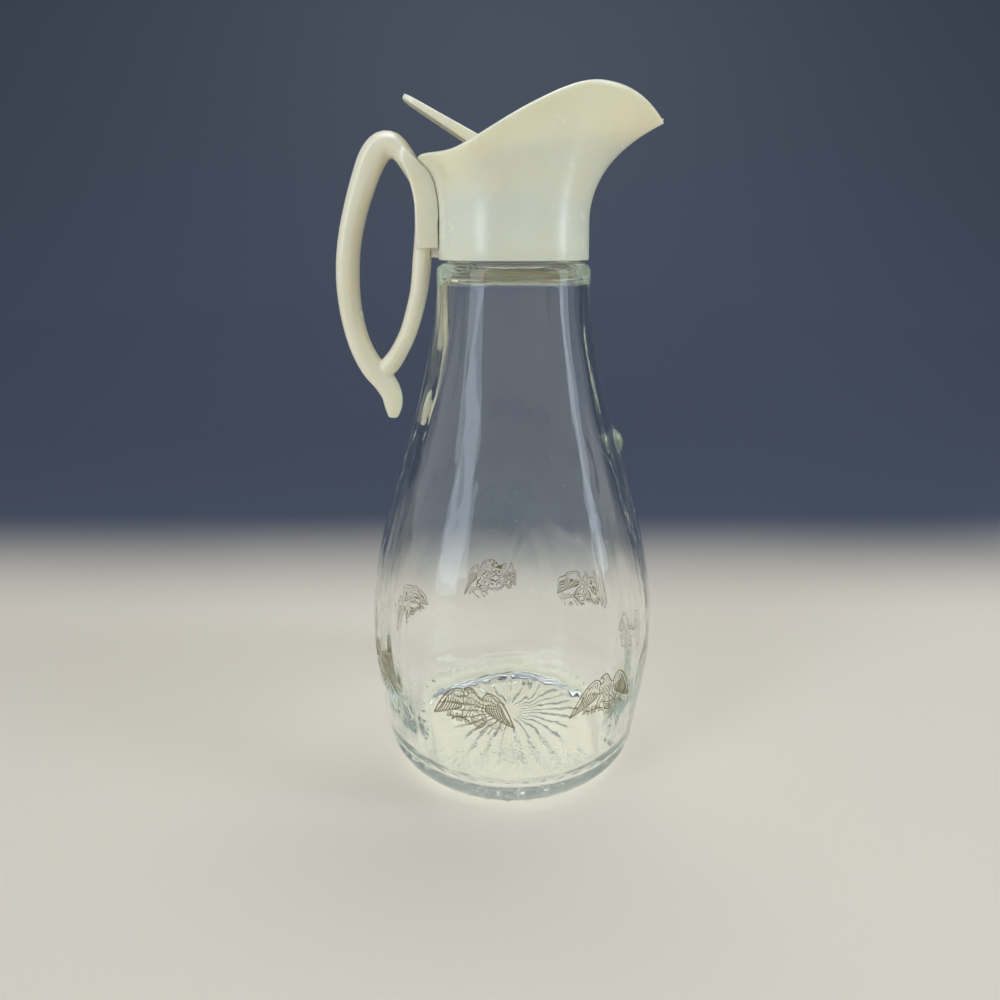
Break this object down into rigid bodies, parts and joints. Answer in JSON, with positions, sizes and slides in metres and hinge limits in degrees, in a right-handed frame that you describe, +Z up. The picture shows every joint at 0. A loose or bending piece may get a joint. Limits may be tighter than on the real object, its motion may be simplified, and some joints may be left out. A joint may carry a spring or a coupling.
{
  "type": "syrup dispenser",
  "caption": "Pear-shaped glass syrup bottle with a screw-on plastic pouring top, a beak spout, a looped side handle and a flap lid opened by a thumb lever.",
  "frame": {"origin": "centre of the ring that the bottle stands on, on the table plane", "axes": "+Z up along the bottle's axis, +X towards the spout's tip, -X towards the handle, +Y across"},
  "size_m": [0.1053, 0.0996, 0.2194],
  "materials": {
    "glass": "clear polished flint glass",
    "ivory_plastic": "glossy moulded plastic, slightly translucent",
    "seal": "soft off-white liner",
    "pin_steel": "drawn wire"
  },
  "bodies": {
    "bottle": {"bottle": "glass"},
    "seal": {"mouth_seal": "seal"},
    "pour_top": {"pour_spout": "ivory_plastic", "handle": "ivory_plastic", "hinge_pin": "pin_steel"},
    "lid": {"lid": "ivory_plastic"}
  },
  "joints": [
    {"name": "top_rise", "type": "slide", "parent": "bottle", "child": "seal", "axis": [0, 0, 1], "range_m": [0, 0.0212]},
    {"name": "top_turn", "type": "hinge", "parent": "seal", "child": "pour_top", "pos_m": [0, 0, 0.19], "axis": [0, 0, 1], "range_deg": [0, 1800]},
    {"name": "lid_hinge", "type": "hinge", "parent": "pour_top", "child": "lid", "pos_m": [-0.0085, 0, 0.2022], "axis": [0, -1, 0], "range_deg": [0, 17.5]}
  ],
  "couplings": [
    {"joint": "top_rise", "follows": "top_turn", "m_per_rad": 0.0006737}
  ]
}
